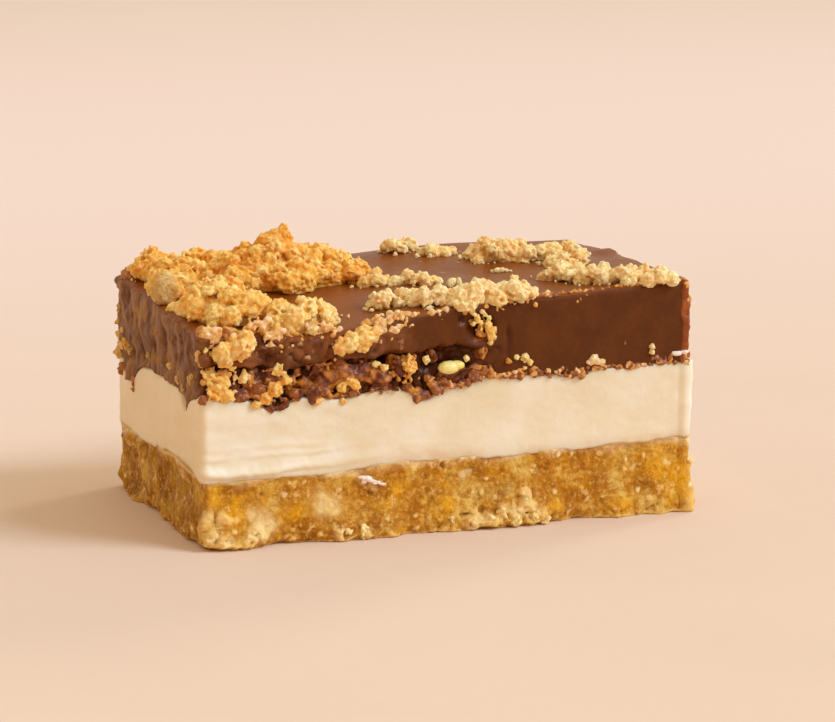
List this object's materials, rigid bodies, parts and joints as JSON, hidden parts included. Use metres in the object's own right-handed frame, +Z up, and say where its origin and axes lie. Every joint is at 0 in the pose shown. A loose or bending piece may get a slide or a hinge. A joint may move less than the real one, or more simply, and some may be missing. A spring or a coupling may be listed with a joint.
{
  "type": "honeycomb toffee slice",
  "caption": "Cut bar of layered cake: pressed crumb base, cream layer, chocolate layer and a scattered golden toffee crumble topping.",
  "frame": {"origin": "centre of the bounding box on the flat underside", "axes": "+X along the long cut front, +Y from the front to the back, +Z up"},
  "size_m": [0.0858, 0.0542, 0.0474],
  "materials": {
    "pressed_crumb": "moist pressed crumb, rough",
    "pale_cream": "smooth set cream, soft sheen",
    "milk_chocolate": "set chocolate, satin top and dull cut sides",
    "golden_crumble": "dry golden crumble"
  },
  "bodies": {
    "root": {"biscuit_base": "pressed_crumb", "cream_layer": "pale_cream", "chocolate_layer": "milk_chocolate", "crumble_heap": "golden_crumble", "crumble_front_edge": "golden_crumble", "crumble_right_edge": "golden_crumble", "crumble_mid_left": "golden_crumble", "crumble_mid_right": "golden_crumble", "crumble_back_left": "golden_crumble", "crumble_back_mid": "golden_crumble", "crumble_back_large": "golden_crumble", "crumble_back_right": "golden_crumble", "crumble_front_left": "golden_crumble", "crumble_front_mid": "golden_crumble"}
  },
  "joints": []
}
